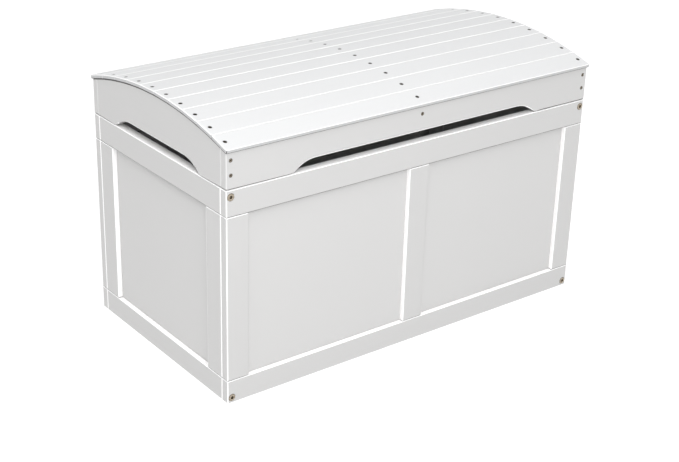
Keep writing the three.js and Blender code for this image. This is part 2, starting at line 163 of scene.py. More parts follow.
class NodeTree:
    """A shader or geometry node tree that is built one node at a time."""

    def __init__(self, tree):
        self.tree = tree

    def feed(self, socket, value):
        """Links a socket to another node's output, or sets it to a plain value."""
        if isinstance(value, bpy.types.NodeSocket):
            self.tree.links.new(value, socket)
        else:
            socket.default_value = value

    def add(self, kind, inputs=None, **settings):
        made = self.tree.nodes.new(kind)
        for name, value in settings.items():
            setattr(made, name, value)
        for socket, value in (inputs or {}).items():
            self.feed(made.inputs[socket], value)
        return made

    def reckon(self, operation, first, second=0.0, third=0.0):
        """The result of one step of arithmetic on up to three values."""
        return self.add("ShaderNodeMath", {0: first, 1: second, 2: third}, operation=operation).outputs[0]


class Recipe(NodeTree):
    """The node tree of one material, round its Principled shader."""

    def __init__(self, name, slot):
        self.material = bpy.data.materials.new(name)
        self.material.use_nodes = True
        self.slot = slot
        super().__init__(self.material.node_tree)
        self.shader = self.tree.nodes["Principled BSDF"]
        self.place = self.add("ShaderNodeTexCoord").outputs["Object"]

    def value(self, name):
        """A number that the mesh carries for each of its faces."""
        return self.add("ShaderNodeAttribute", attribute_name=name).outputs["Fac"]

    def shifted(self, number, step):
        """The piece's own coordinates, moved by a different way for each board."""
        scaled = self.add("ShaderNodeVectorMath", {0: step}, operation="SCALE")
        self.feed(scaled.inputs["Scale"], number)
        moved = self.add("ShaderNodeVectorMath", {0: self.place, 1: scaled.outputs[0]}, operation="ADD")
        return moved.outputs[0]

    def stretched(self, place, scale):
        return self.add("ShaderNodeMapping", {"Vector": place, "Scale": scale}).outputs[0]

    def noise(self, place, scale, detail=2.0, roughness=0.5):
        inputs = {"Vector": place, "Scale": scale, "Detail": detail, "Roughness": roughness}
        return self.add("ShaderNodeTexNoise", inputs).outputs["Fac"]

    def ranged(self, value, start, end, low, high):
        inputs = {"Value": value, "From Min": start, "From Max": end, "To Min": low, "To Max": high}
        return self.add("ShaderNodeMapRange", inputs, interpolation_type="SMOOTHSTEP").outputs[0]

    def mixed(self, first, second, factor):
        mix = self.add("ShaderNodeMix", data_type="RGBA")
        self.feed(mix.inputs[0], factor)
        self.feed(mix.inputs[6], first)
        self.feed(mix.inputs[7], second)
        return mix.outputs[2]

    def bumped(self, height, depth, strength):
        inputs = {"Height": height, "Distance": depth, "Strength": strength}
        self.feed(self.shader.inputs["Normal"], self.add("ShaderNodeBump", inputs).outputs[0])


def tone(level, warmth=0.0):
    """A near white or grey; a positive warmth leans to yellow and a negative one to blue."""
    return (level * (1 + warmth), level, level * (1 - warmth), 1.0)


# ---------------------------------------------------------------- finishes

GRAIN_ALONG = 5.0
GRAIN_ACROSS = 260.0
BOARD_STEP = (1.37, 2.11, 0.73)
# marks on each face: the board's number for its pattern, painted fill light on inward faces, painted
# highlight or shade on narrow sides, painted shade in joints, and a painted highlight on arrises, which also
# carry scuffs
MARKS = ("board", "inner", "side", "seam", "arris")
# the near black of the painted shade in the joints
SEAM_SHADE_LEVEL = 0.04
# the brighter level of the faces that look into the chest, a painted fill light
INNER_FILL_LEVEL = 0.8


def painted_wood(name, slot, level, side_level, arris_highlight_level, warmth, roughness, grain_axis):
    """White paint brushed on wood: grain that shows through, slow changes of tone, scuffs on the arrises and
    a painted highlight on them.

    The three levels are for a board's outer faces, its narrow sides and its arrises. The narrow sides' level
    is a painted highlight on the white boards and a painted shade on the slats, and the arrises' level is a
    painted highlight. The faces that look into the chest are painted brighter, as a painted fill light, and
    the arrises in joints are painted nearly black, as painted shade.
    """
    paint = Recipe(name, slot)
    place = paint.shifted(paint.value("board"), BOARD_STEP)
    scale = [GRAIN_ACROSS] * 3
    scale["xyz".index(grain_axis)] = GRAIN_ALONG
    grain = paint.noise(paint.stretched(place, scale), 1.0, 5.0, 0.62)
    brush = paint.noise(paint.stretched(place, [3 * value for value in scale]), 1.0, 2.0)
    drift = paint.noise(place, 5.5, 3.0)
    stipple = paint.noise(place, 850.0, 2.0)
    rub = paint.noise(place, 38.0, 4.0, 0.6)
    arris = paint.value("arris")

    body = paint.mixed(tone(level * 0.985, warmth), tone(level * 1.015, warmth), drift)
    streaked = paint.mixed(body, tone(level * 0.95, warmth), paint.ranged(grain, 0.5, 0.8, 0.0, 0.35))
    # painted fill light: faces that look into the chest are painted brighter
    inner = paint.mixed(streaked, tone(INNER_FILL_LEVEL, warmth), paint.value("inner"))
    # narrow sides take their own level: a painted highlight on the white boards, painted shade on the slats
    sided = paint.mixed(inner, tone(side_level, warmth), paint.value("side"))
    # painted highlight on the arrises
    arris_highlighted = paint.mixed(sided, tone(arris_highlight_level), arris)
    worn = paint.reckon("MULTIPLY", arris, paint.ranged(rub, 0.64, 0.76, 0.0, 0.2))
    scuffed = paint.mixed(arris_highlighted, tone(0.6, 0.06), worn)
    # painted shade: arrises in joints are painted nearly black, a little unevenly
    seam_shade = paint.reckon("MULTIPLY", paint.value("seam"), paint.ranged(rub, 0.2, 0.7, 1.0, 0.8))
    paint.feed(paint.shader.inputs["Base Color"], paint.mixed(scuffed, tone(SEAM_SHADE_LEVEL, 0.03), seam_shade))

    gloss = paint.reckon("MULTIPLY_ADD", grain, 0.10, roughness - 0.05)
    paint.feed(paint.shader.inputs["Roughness"], paint.reckon("MULTIPLY_ADD", rub, 0.06, gloss))
    height = paint.reckon("MULTIPLY_ADD", grain, 0.7, paint.reckon("MULTIPLY_ADD", brush, 0.35, stipple))
    paint.bumped(height, 0.12 * MM, 0.35)
    paint.feed(paint.shader.inputs["Specular IOR Level"], 0.4)
    return paint


def aged_bronze(name, slot, level, worn_glint_level):
    """Antique bronze plating: dark, browner in clouds, and bright on proud faces, partly from worn plating
    and partly as a painted glint.
    """
    bronze = Recipe(name, slot)
    clouds = bronze.noise(bronze.place, 420.0, 4.0, 0.6)
    scratches = bronze.noise(bronze.stretched(bronze.place, (2200.0, 300.0, 900.0)), 1.0, 2.0)
    dark = (level * 0.62, level * 0.50, level * 0.38, 1.0)
    light = (level * 1.9, level * 1.55, level * 1.08, 1.0)
    body = bronze.mixed(dark, light, bronze.ranged(clouds, 0.35, 0.7, 0, 1))
    # worn plating and a painted glint on the proud faces of the head
    worn = (worn_glint_level, worn_glint_level * 0.87, worn_glint_level * 0.7, 1.0)
    bronze.feed(bronze.shader.inputs["Base Color"], bronze.mixed(body, worn, bronze.value("worn")))
    bronze.feed(bronze.shader.inputs["Roughness"], bronze.reckon("MULTIPLY_ADD", scratches, 0.25, 0.28))
    bronze.feed(bronze.shader.inputs["Metallic"], 0.85)
    bronze.bumped(bronze.reckon("MULTIPLY_ADD", scratches, 0.6, clouds), 0.05 * MM, 0.4)
    return bronze


def zinc_steel(name, slot):
    """Zinc-plated steel: pale grey with a spangle, and drawn lines along the hinge."""
    zinc = Recipe(name, slot)
    lines = zinc.noise(zinc.stretched(zinc.place, (60.0, 2600.0, 2600.0)), 1.0, 3.0)
    spangle = zinc.noise(zinc.place, 260.0, 3.0, 0.55)
    zinc.feed(zinc.shader.inputs["Base Color"], zinc.mixed(tone(0.46, -0.02), tone(0.62, 0.01), spangle))
    zinc.feed(zinc.shader.inputs["Roughness"], zinc.reckon("MULTIPLY_ADD", lines, 0.22, 0.24))
    zinc.feed(zinc.shader.inputs["Metallic"], 1.0)
    zinc.bumped(lines, 0.03 * MM, 0.3)
    return zinc


# Each paint: its levels on outer faces, narrow sides and arrises, its warmth and its roughness. The narrow
# sides' level is a painted highlight on the white paint and a painted shade on the slats, and the arrises'
# level is a painted highlight.
PAINT_FINISHES = {
    "white_paint": (0.55, 0.97, 1.0, 0.006, 0.42),
    # the slats' outer level is set lighter than the white paint's, as painted light on the lid's top; their
    # slight blue is their own tone
    "slat_paint": (0.655, 0.5, 0.86, -0.006, 0.46),
    "panel_paint": (0.57, 0.57, 0.8, 0.006, 0.46),
    "inside_paint": (0.8, 0.8, 0.85, 0.010, 0.55),
}
PAINTS = {
    (slot, axis): painted_wood(f"{slot}_{axis}", slot, *finish, axis)
    for slot, finish in PAINT_FINISHES.items()
    for axis in "xyz"
}
BRONZE = aged_bronze("antique_bronze", "bronze", 0.12, 0.8)
SCREW_BRONZE = aged_bronze("screw_bronze", "bronze", 0.05, 0.5)
DARK_BRONZE = aged_bronze("dark_screw_bronze", "bronze", 0.035, 0.06)
ZINC = zinc_steel("zinc_plate", "steel")


# ---------------------------------------------------------------- meshes


def mesh_from(work, name):
    """A mesh from a finished bmesh, smooth but for its sharp edges."""
    for face in work.faces:
        face.smooth = True
    for edge in work.edges:
        if len(edge.link_faces) == 2:
            edge.smooth = edge.calc_face_angle() < SHARPEST_UNEASED
    mesh = bpy.data.meshes.new(name)
    work.to_mesh(mesh)
    work.free()
    return mesh


def object_from(mesh, name, recipe):
    """An object at the origin that shows a mesh in one finish."""
    mesh.materials.clear()
    mesh.materials.append(recipe.material)
    piece = bpy.data.objects.new(name, mesh)
    bpy.context.scene.collection.objects.link(piece)
    return piece


def settled(piece):
    """The piece with its modifiers worked into its mesh."""
    bpy.context.view_layer.update()
    evaluated = piece.evaluated_get(bpy.context.evaluated_depsgraph_get())
    mesh = bpy.data.meshes.new_from_object(evaluated)
    piece.modifiers.clear()
    piece.data = mesh
    return piece


def with_flat_faces(piece):
    """Shades the broad faces flat and the eased edges round."""
    weighted = piece.modifiers.new("flat_faces", "WEIGHTED_NORMAL")
    weighted.mode = "FACE_AREA"
    weighted.weight = 50
    weighted.keep_sharp = True
    return settled(piece)


def install(piece, body, recipe, nodes=()):
    """Fixes a finished piece to its body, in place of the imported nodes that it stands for."""
    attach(piece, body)
    if nodes:
        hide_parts(*nodes)


# ---------------------------------------------------------------- boards and plates


def joined_solid(node):
    """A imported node's surface with its corners joined and its flat faces made whole."""
    work = bmesh.new()
    work.from_mesh(NODES[node].data)
    bmesh.ops.remove_doubles(work, verts=work.verts, dist=0.002 * MM)
    bmesh.ops.dissolve_limit(
        work, angle_limit=math.radians(0.4), verts=work.verts, edges=work.edges, delimit={"NORMAL"}
    )
    return work


def is_outer(edge, low, high):
    """Whether an edge lies along the box that holds its board."""
    held = 0
    for axis in range(3):
        for limit in (low[axis], high[axis]):
            held += all(abs(corner.co[axis] - limit) < ON_THE_BOX for corner in edge.verts)
    return held == 2


def is_arris(edge, shortest):
    """Whether an edge is an outward corner long enough to be eased."""
    whole = len(edge.link_faces) == 2 and edge.is_convex
    return whole and edge.calc_face_angle() > SHARPEST_UNEASED and edge.calc_length() > shortest


def is_inner(face):
    """Whether a face of a wall or of the lid looks into the chest. Such faces are painted brighter, as a
    painted fill light.
    """
    normal, middle = face.normal, face.calc_center_median()
    between_ends = abs(middle.x) < WALL_FACES.x - WALL
    between_long_walls = abs(middle.y) < WALL_FACES.y - WALL
    of_front_or_back = between_ends and normal.y * middle.y < -SQUARE_ON * abs(middle.y)
    of_an_end = between_long_walls and normal.x * middle.x < -SQUARE_ON * abs(middle.x)
    return of_front_or_back or of_an_end


def is_bay_side(face):
    """Whether a face is a narrow side of a frame piece that looks into a bay, or the rim of the box. The
    white paint gives these a painted highlight.
    """
    middle = face.calc_center_median()
    outside = abs(middle.x) > WALL_FACES.x - ON_THE_BOX or abs(middle.y) > WALL_FACES.y - ON_THE_BOX
    return not (outside or is_inner(face)) and face.normal.z > BAY_UNDERSIDE


def is_slat_side(face):
    """Whether a face of a slat is neither its upper face nor its underside. These sides are painted darker,
    as painted shade.
    """
    return abs(face.normal.z) < SLAT_FACE


def is_slat_underside(face):
    """Whether a face of a slat looks down into the lid. It is painted brighter, as a painted fill light."""
    return face.normal.z < -SLAT_FACE


def is_under_seam(face):
    """Whether an arris looks down into the joint or the bay under it, where it is painted dark as shade."""
    return face.normal.z < SEAM_LOOKS_DOWN and face.calc_center_median().z > FOOT


def is_lid_seam(face):
    """Whether an arris of a lid board is in the outer joint with the chest's rim or in that with the slats,
    where it is painted dark as shade.

    The inner arrises at the lid's foot are not painted dark.
    """
    normal, middle = face.normal, face.calc_center_median()
    looks_out = normal.x * middle.x + normal.y * middle.y > 0
    return looks_out and middle.z < LID_FOOT + LID_BOARD_EASE or normal.z > -SEAM_LOOKS_DOWN


def is_bay_right(face):
    """Whether an arris of a frame piece looks to the right into a bay. It gets neither a painted highlight
    nor painted shade.
    """
    return face.normal.x > BAY_RIGHT and abs(face.calc_center_median().x) < WALL_FACES.x - WALL


def never(_):
    return False


def always(_):
    return True


def eased(
    node,
    name,
    radius,
    recipe,
    number,
    chosen=always,
    is_side=never,
    is_seam=never,
    is_plain=never,
    is_inside=is_inner,
    shortest=SHORTEST_EASED_EDGE,
):
    """A packed board or plate with its chosen arrises rounded.

    Its faces carry the board's number and marks for the paint: which look into the chest, for a painted fill
    light, which are narrow sides, for a painted highlight or shade, and which are arrises, painted dark as
    shade in a joint or else given a painted highlight.
    """
    work = joined_solid(node)
    marks = {mark: work.faces.layers.float.new(mark) for mark in MARKS}
    arrises = [edge for edge in work.edges if is_arris(edge, shortest) and chosen(edge)]
    rounded = bmesh.ops.bevel(
        work,
        geom=arrises,
        offset=radius,
        offset_type="OFFSET",
        segments=EASE_STEPS,
        profile=0.5,
        affect="EDGES",
        clamp_overlap=False,
    )
    work.normal_update()
    lies_flat = long_axis(node) != "z"
    for face in work.faces:
        face[marks["board"]] = float(number)
        face[marks["side"]] = float(is_side(face))
        face[marks["inner"]] = float(is_inside(face))
    for face in rounded["faces"]:
        # an arris that looks right into a bay gets no painted highlight, on its side level or as an arris
        if is_plain(face):
            face[marks["side"]] = 0.0
        # painted shade in a joint
        elif is_seam(face):
            face[marks["seam"]] = 1.0
        else:
            # painted highlight on the arrises, weaker on upright ones at the ends of flat-lying boards
            at_end = lies_flat and abs(face.normal.z) < UPRIGHT
            face[marks["arris"]] = END_ARRIS if at_end else 1.0
    return with_flat_faces(object_from(mesh_from(work, name), name, recipe))


def long_axis(node):
    """The letter of the axis that a board is longest along."""
    low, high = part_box(node)
    size = high - low
    return "xyz"[max(range(3), key=lambda axis: size[axis])]


def node_slots():
    return {part["node"]: part["material_slot"] for part in frame["record"]["subparts"]}


def add_boards():
    """Every wooden piece of the chest, eased and painted."""
    lid = set(frame["record"]["behaviour"]["bodies"]["lid"])
    for number, (node, slot) in enumerate(node_slots().items()):
        if not slot.endswith("paint"):
            continue
        recipe = PAINTS[slot, long_axis(node)]
        name = f"painted_{node}"
        if slot == "slat_paint":
            marking = {"is_side": is_slat_side, "is_seam": is_under_seam, "is_inside": is_slat_underside}
            piece = eased(node, name, SLAT_EASE, recipe, number, **marking)
        elif node in lid:
            piece = eased(node, name, LID_BOARD_EASE, recipe, number, is_seam=is_lid_seam)
        else:
            radius = PANEL_EASE if slot == "panel_paint" else BOARD_EASE
            low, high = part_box(node)
            outline = partial(is_outer, low=low, high=high)
            marking = {"is_side": is_bay_side, "is_seam": is_under_seam, "is_plain": is_bay_right}
            piece = eased(node, name, radius, recipe, number, outline, **marking)
        install(piece, "lid" if node in lid else "box", recipe, [node])


def add_hinges():
    """The hinges' leaves and pins, with their edges broken."""
    lid = set(frame["record"]["behaviour"]["bodies"]["lid"])
    for number, (node, slot) in enumerate(node_slots().items()):
        if slot == "steel":
            piece = eased(node, f"plated_{node}", PLATE_EASE, ZINC, number, shortest=SHORTEST_PLATE_EDGE)
            install(piece, "lid" if node in lid else "box", ZINC, [node])


# ---------------------------------------------------------------- turned fastenings


def turned_solid(name, rings, sides, recipe):
    """A closed solid round the Z axis, with ends that close on it.

    Each ring is a height and a function that gives the radius at an angle. Proud faces are marked as worn, a
    mark that stands for worn plating and a painted glint.
    """
    work = bmesh.new()
    loops = []
    for height, radius in rings:
        turns = [2 * math.pi * step / sides for step in range(sides)]
        corners = [(radius(turn) * math.cos(turn), radius(turn) * math.sin(turn), height) for turn in turns]
        loops.append([work.verts.new(corner) for corner in corners])
    for lower, upper in zip(loops, loops[1:]):
        for step in range(sides):
            after = (step + 1) % sides
            work.faces.new((lower[step], lower[after], upper[after], upper[step]))
    for loop, (height, _) in ((loops[0], rings[0]), (loops[-1], rings[-1])):
        middle = work.verts.new((0, 0, height))
        for step in range(sides):
            work.faces.new((middle, loop[step], loop[(step + 1) % sides]))
    bmesh.ops.recalc_face_normals(work, faces=work.faces)
    worn = work.faces.layers.float.new("worn")
    for face in work.faces:
        face.normal_update()
        # proud faces of the head: partly worn plating, partly a painted glint
        proud = face.normal.z > WORN_GLINT_FACING and face.calc_center_median().z > -WORN_GLINT_DEPTH
        face[worn] = float(proud)
    return object_from(mesh_from(work, name), name, recipe)


def plain(radius):
    return lambda turn: radius


def hexagon(radius):
    """A hexagon's outline as a radius at each angle; the radius given is to its corners."""

    def reach(turn):
        sixth = math.pi / 3
        return radius * math.cos(sixth / 2) / math.cos(turn % sixth - sixth / 2)

    return reach


def cross(reach, width):
    """A cross recess as a radius at each angle: four arms of that reach and half width."""

    def radius(turn):
        quarter = math.pi / 2
        off = abs((turn + quarter / 2) % quarter - quarter / 2)
        side = width / max(math.sin(off), 1e-4)
        end = reach / math.cos(off)
        return max(min(side, end), width * math.sqrt(2))

    return radius


def thread_rings(start, length, radius):
    """Rings down a screw thread: at each height the crest has turned a little further round the shank."""
    steps = 6
    count = round(length / THREAD_PITCH) * steps
    rings = []
    for index in range(count + 1):
        along = index * THREAD_PITCH / steps
        fade = min(1.0, index / steps, (count - index) / steps)

        def ridge(turn, along=along, fade=fade):
            phase = (along / THREAD_PITCH - turn / (2 * math.pi)) % 1.0
            return radius - THREAD_DEPTH * fade * abs(2 * phase - 1)

        rings.append((start - along, ridge))
    return rings


def bolt_master(length, head_radius, head_depth, shank_radius):
    """A connector bolt with a stepped head and a hexagon socket: its face at z = 0, its shank down -Z."""
    rings = [
        (-SOCKET_DEPTH, hexagon(SOCKET_RADIUS)),
        (-0.35 * MM, hexagon(SOCKET_RADIUS)),
        (-0.05 * MM, plain(SOCKET_RADIUS + 0.35 * MM)),
        (0.0, plain(SOCKET_RADIUS + 0.6 * MM)),
        (-0.03 * MM, plain(head_radius - 2.5 * MM)),
        (-0.55 * MM, plain(head_radius - 2.3 * MM)),
        (-0.55 * MM, plain(head_radius - 1.7 * MM)),
        (-0.15 * MM, plain(head_radius - 1.45 * MM)),
        (-0.2 * MM, plain(head_radius - 0.9 * MM)),
        (-0.45 * MM, plain(head_radius - 0.35 * MM)),
        (-0.8 * MM, plain(head_radius)),
        (-head_depth + 0.2 * MM, plain(head_radius)),
        (-head_depth, plain(head_radius - 0.2 * MM)),
        (-head_depth, plain(shank_radius)),
    ]
    rings += thread_rings(-length + THREAD_LENGTH, THREAD_LENGTH - 0.5 * MM, shank_radius)
    rings.append((-length, plain(shank_radius - 0.6 * MM)))
    return turned_solid("bolt_master", rings, 48, BRONZE)


def screw_master(recipe, length):
    """A countersunk screw with its head's rim at z = 0 and its shank down -Z, with a cross recess."""
    head = SCREW_HEAD_RADIUS
    rings = [
        (-CROSS_DEPTH, cross(CROSS_REACH * 0.45, CROSS_WIDTH * 0.6)),
        (-0.15 * MM, cross(CROSS_REACH, CROSS_WIDTH)),
        (0.12 * MM, cross(CROSS_REACH + 0.15 * MM, CROSS_WIDTH + 0.12 * MM)),
        (0.1 * MM, plain(head * 0.66)),
        (-0.25 * MM, plain(head - 0.12 * MM)),
        (-0.35 * MM, plain(head)),
        (-0.45 * MM, plain(head)),
        (-SCREW_HEAD_DEPTH, plain(SCREW_SHANK_RADIUS)),
        (-length * 0.4, plain(SCREW_SHANK_RADIUS)),
        (-length * 0.9, plain(SCREW_SHANK_RADIUS * 0.85)),
        (-length, plain(SCREW_SHANK_RADIUS * 0.2)),
    ]
    return turned_solid("screw_master", rings, 40, recipe)


def barrel_nut_master():
    """A cross dowel with its slotted end at z = 0, down -Z."""
    radius = BARREL_NUT_RADIUS
    length = BARREL_NUT_LENGTH
    slot = cross(radius * 0.62, 0.6 * MM)
    rings = [
        (-0.9 * MM, slot),
        (0.0, slot),
        (0.0, plain(radius - 0.5 * MM)),
        (-0.15 * MM, plain(radius - 0.15 * MM)),
        (-0.5 * MM, plain(radius)),
        (-length + 0.5 * MM, plain(radius)),
        (-length, plain(radius - 0.4 * MM)),
    ]
    return turned_solid("barrel_nut_master", rings, 32, ZINC)


# ---------------------------------------------------------------- placing the fastenings


def socket_in(tree, name, kind, default=None):
    """Adds a named input to a geometry tree's interface."""
    made = tree.interface.new_socket(name=name, in_out="INPUT", socket_type=kind)
    if default is not None:
        made.default_value = default


def new_geometry_tree(name):
    tree = bpy.data.node_groups.new(name, "GeometryNodeTree")
    tree.interface.new_socket(name="Geometry", in_out="OUTPUT", socket_type="NodeSocketGeometry")
    return tree


def fastenings_tree():
    """Sets one fastening at each point of a mesh, along the direction that the point carries as `facing`."""
    tree = new_geometry_tree("fastenings_at_points")
    socket_in(tree, "Points", "NodeSocketGeometry")
    socket_in(tree, "Fastening", "NodeSocketObject")
    socket_in(tree, "Finish", "NodeSocketMaterial")
    socket_in(tree, "Spread of the Turn", "NodeSocketFloat", math.tau)
    socket_in(tree, "Seed", "NodeSocketInt", 0)
    build = NodeTree(tree)
    given = build.add("NodeGroupInput").outputs
    facing = build.add(
        "GeometryNodeInputNamedAttribute", {"Name": "facing"}, data_type="FLOAT_VECTOR"
    ).outputs["Attribute"]
    aimed = build.add("FunctionNodeAlignRotationToVector", {"Vector": facing}, axis="Z").outputs[0]
    spin = build.add("FunctionNodeRandomValue", data_type="FLOAT")
    build.feed(spin.inputs[3], given["Spread of the Turn"])
    build.feed(spin.inputs["Seed"], given["Seed"])
    turn = build.add(
        "FunctionNodeAxisAngleToRotation", {"Axis": (0, 0, 1), "Angle": spin.outputs[1]}
    ).outputs[0]
    turned = build.add("FunctionNodeRotateRotation", {0: aimed, 1: turn}, rotation_space="LOCAL").outputs[0]
    shape = build.add("GeometryNodeObjectInfo", {"Object": given["Fastening"]}).outputs["Geometry"]
    placed = build.add(
        "GeometryNodeInstanceOnPoints", {"Points": given["Points"], "Instance": shape, "Rotation": turned}
    ).outputs[0]
    real = build.add("GeometryNodeRealizeInstances", {"Geometry": placed}).outputs[0]
    done = build.add("GeometryNodeSetMaterial", {"Geometry": real, "Material": given["Finish"]}).outputs[0]
    build.add("NodeGroupOutput", {"Geometry": done})
    return tree


def arch_points_tree():
    """Points in rows along an arch of slats: one a slat in each row, facing straight out of the slat."""
    tree = new_geometry_tree("screw_points_on_the_arch")
    socket_in(tree, "Slats", "NodeSocketInt", SLAT_COUNT)
    socket_in(tree, "Rows", "NodeSocketInt", len(SCREW_ROWS))
    socket_in(tree, "Row Reach", "NodeSocketFloat", SCREW_ROWS[-1])
    socket_in(tree, "Height over the Axis", "NodeSocketFloat")
    socket_in(tree, "Axis Height", "NodeSocketFloat")
    socket_in(tree, "Half Angle", "NodeSocketFloat")
    build = NodeTree(tree)
    given = build.add("NodeGroupInput").outputs
    reckon = build.reckon
    index = build.add("GeometryNodeInputIndex").outputs[0]
    slat = reckon("FLOOR", reckon("DIVIDE", index, given["Rows"]))
    row = reckon("SUBTRACT", index, reckon("MULTIPLY", slat, given["Rows"]))
    share = reckon("DIVIDE", row, reckon("SUBTRACT", given["Rows"], 1.0))
    across = reckon("MULTIPLY", given["Row Reach"], reckon("SUBTRACT", reckon("MULTIPLY", share, 2.0), 1.0))
    part = reckon("DIVIDE", reckon("ADD", slat, 0.5), given["Slats"])
    angle = reckon("MULTIPLY", given["Half Angle"], reckon("SUBTRACT", reckon("MULTIPLY", part, 2.0), 1.0))
    back = reckon("SINE", angle)
    up = reckon("COSINE", angle)
    reach = given["Height over the Axis"]
    spot = build.add(
        "ShaderNodeCombineXYZ",
        {
            "X": across,
            "Y": reckon("MULTIPLY", reach, back),
            "Z": reckon("ADD", given["Axis Height"], reckon("MULTIPLY", reach, up)),
        },
    ).outputs[0]
    facing = build.add("ShaderNodeCombineXYZ", {"Y": back, "Z": up}).outputs[0]
    count = reckon("MULTIPLY", given["Slats"], given["Rows"])
    points = build.add("GeometryNodeMeshLine", {"Count": count}).outputs[0]
    moved = build.add("GeometryNodeSetPosition", {"Geometry": points, "Position": spot}).outputs[0]
    marked = build.add(
        "GeometryNodeStoreNamedAttribute",
        {"Geometry": moved, "Name": "facing"},
        data_type="FLOAT_VECTOR",
        domain="POINT",
    )
    build.feed(marked.inputs["Value"], facing)
    build.add("NodeGroupOutput", {"Geometry": marked.outputs[0]})
    return tree


FASTENINGS = fastenings_tree()
ARCH_POINTS = arch_points_tree()


def run_tree(holder, tree, values):
    """Gives an object a geometry tree's result as its own plain mesh. Inputs are set by their identifiers."""
    modifier = holder.modifiers.new(tree.name, "NODES")
    modifier.node_group = tree
    identifiers = {item.name: item.identifier for item in tree.interface.items_tree if item.in_out == "INPUT"}
    for name, value in values.items():
        modifier[identifiers[name]] = value
    return settled(holder)


def points_object(places):
    """A mesh of loose points from (place, facing) pairs."""
    mesh = bpy.data.meshes.new("fastening_points")
    mesh.from_pydata([place for place, _ in places], [], [])
    facing = mesh.attributes.new("facing", "FLOAT_VECTOR", "POINT")
    facing.data.foreach_set("vector", [value for _, way in places for value in way])
    return object_from(mesh, "fastening_points", BRONZE)


def set_fastenings(name, holder, master, recipe, body, seed, nodes=()):
    """Turns an object that holds points into the fastenings that stand on them."""
    values = {"Fastening": master, "Finish": recipe.material, "Spread of the Turn": math.tau, "Seed": seed}
    run_tree(holder, FASTENINGS, values)
    holder.name = name
    holder.data.name = name
    install(holder, body, recipe, nodes)


def arch_shape():
    """Radius, height of the axis and half angle of the arch that the slats' faces touch."""
    low, high = PACKED_BOX
    half_depth = (high.y - low.y) / 2
    radius = (half_depth**2 + ARCH_RISE**2) / (2 * ARCH_RISE)
    return radius, high.z - radius, math.asin(half_depth / radius)


def add_slat_screws(screw):
    """Three screws in every slat: one over each end board and one over the rib."""
    radius, axis_height, half_angle = arch_shape()
    slat_face = radius * math.cos(half_angle / SLAT_COUNT)
    holder = points_object([(Vector(), Vector((0, 0, 1)))])
    values = {
        "Slats": SLAT_COUNT,
        "Rows": len(SCREW_ROWS),
        "Row Reach": SCREW_ROWS[-1],
        "Height over the Axis": slat_face - SCREW_BELOW_FACE,
        "Axis Height": axis_height,
        "Half Angle": half_angle,
    }
    run_tree(holder, ARCH_POINTS, values)
    set_fastenings("slat_screws", holder, screw, DARK_BRONZE, "lid", seed=3)


def add_rail_screws(screw):
    """The screws that hold the lid's long rails to its end boards and its rib."""
    places = []
    for node, way in (("lid_front_rail", -1), ("lid_back_rail", 1)):
        low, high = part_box(node)
        face = low.y if way < 0 else high.y
        spots = [(x, z) for x in (SCREW_ROWS[0], SCREW_ROWS[2]) for z in RAIL_SCREW_HEIGHTS]
        spots.append((SCREW_ROWS[1], RAIL_SCREW_HEIGHTS[1]))
        places += [(Vector((x, face - way * SCREW_BELOW_FACE, z)), Vector((0, way, 0))) for x, z in spots]
    set_fastenings("lid_rail_screws", points_object(places), screw, SCREW_BRONZE, "lid", seed=11)


def add_hinge_screws(screw):
    """Three screws through the upright flap of every hinge leaf."""
    for body, leaf in (("box", "box_leaf"), ("lid", "lid_leaf")):
        places = []
        for side in ("left", "right"):
            low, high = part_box(f"{side}_hinge_{leaf}")
            in_from_edge = HINGE_SCREW_LEVEL * (high.z - low.z)
            height = low.z + in_from_edge if body == "box" else high.z - in_from_edge
            middle = (low.x + high.x) / 2
            for along in HINGE_SCREWS_ALONG:
                place = Vector((middle + along, low.y - HINGE_SCREW_PROUD, height))
                places.append((place, Vector((0, -1, 0))))
        set_fastenings(f"hinge_{leaf}_screws", points_object(places), screw, ZINC, body, seed=17)


def add_cleat_screws(screw):
    """The screws through the floor cleats into the walls round them."""
    places = []
    for wall, way in (("front", (0, 1, 0)), ("back", (0, -1, 0)), ("left", (1, 0, 0)), ("right", (-1, 0, 0))):
        low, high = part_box(f"{wall}_floor_cleat")
        middle = (low + high) / 2
        way = Vector(way)
        along = Vector((abs(way.y), abs(way.x), 0))
        length = abs((high - low).dot(along))
        depth = abs((high - low).dot(way))
        count = round(length / CLEAT_SCREW_SPACING) + 1
        for index in range(count):
            offset = (index - (count - 1) / 2) * (length - CLEAT_END_MARGINS) / (count - 1)
            places.append((middle + along * offset + way * (depth / 2 - SCREW_BELOW_FACE), way))
    set_fastenings("floor_cleat_screws", points_object(places), screw, ZINC, "box", seed=23)


def add_barrel_nuts():
    """The cross dowels in the end rails that the connector bolts screw into."""
    master = barrel_nut_master()
    places = []
    for wall, way in (("left", 1), ("right", -1)):
        for rail, bolt in (("top", f"front_top_{wall}_bolt"), ("bottom", f"front_bottom_{wall}_bolt")):
            low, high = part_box(f"{wall}_{rail}_rail")
            bolt_low, bolt_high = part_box(bolt)
            height = (bolt_low.z + bolt_high.z) / 2
            face = high.x if way > 0 else low.x
            for y in (low.y + BARREL_NUT_INSET, high.y - BARREL_NUT_INSET):
                places.append((Vector((face - way * BARREL_NUT_BELOW_FACE, y, height)), Vector((way, 0, 0))))
    set_fastenings("barrel_nuts", points_object(places), master, ZINC, "box", seed=5)
    bpy.data.objects.remove(master)


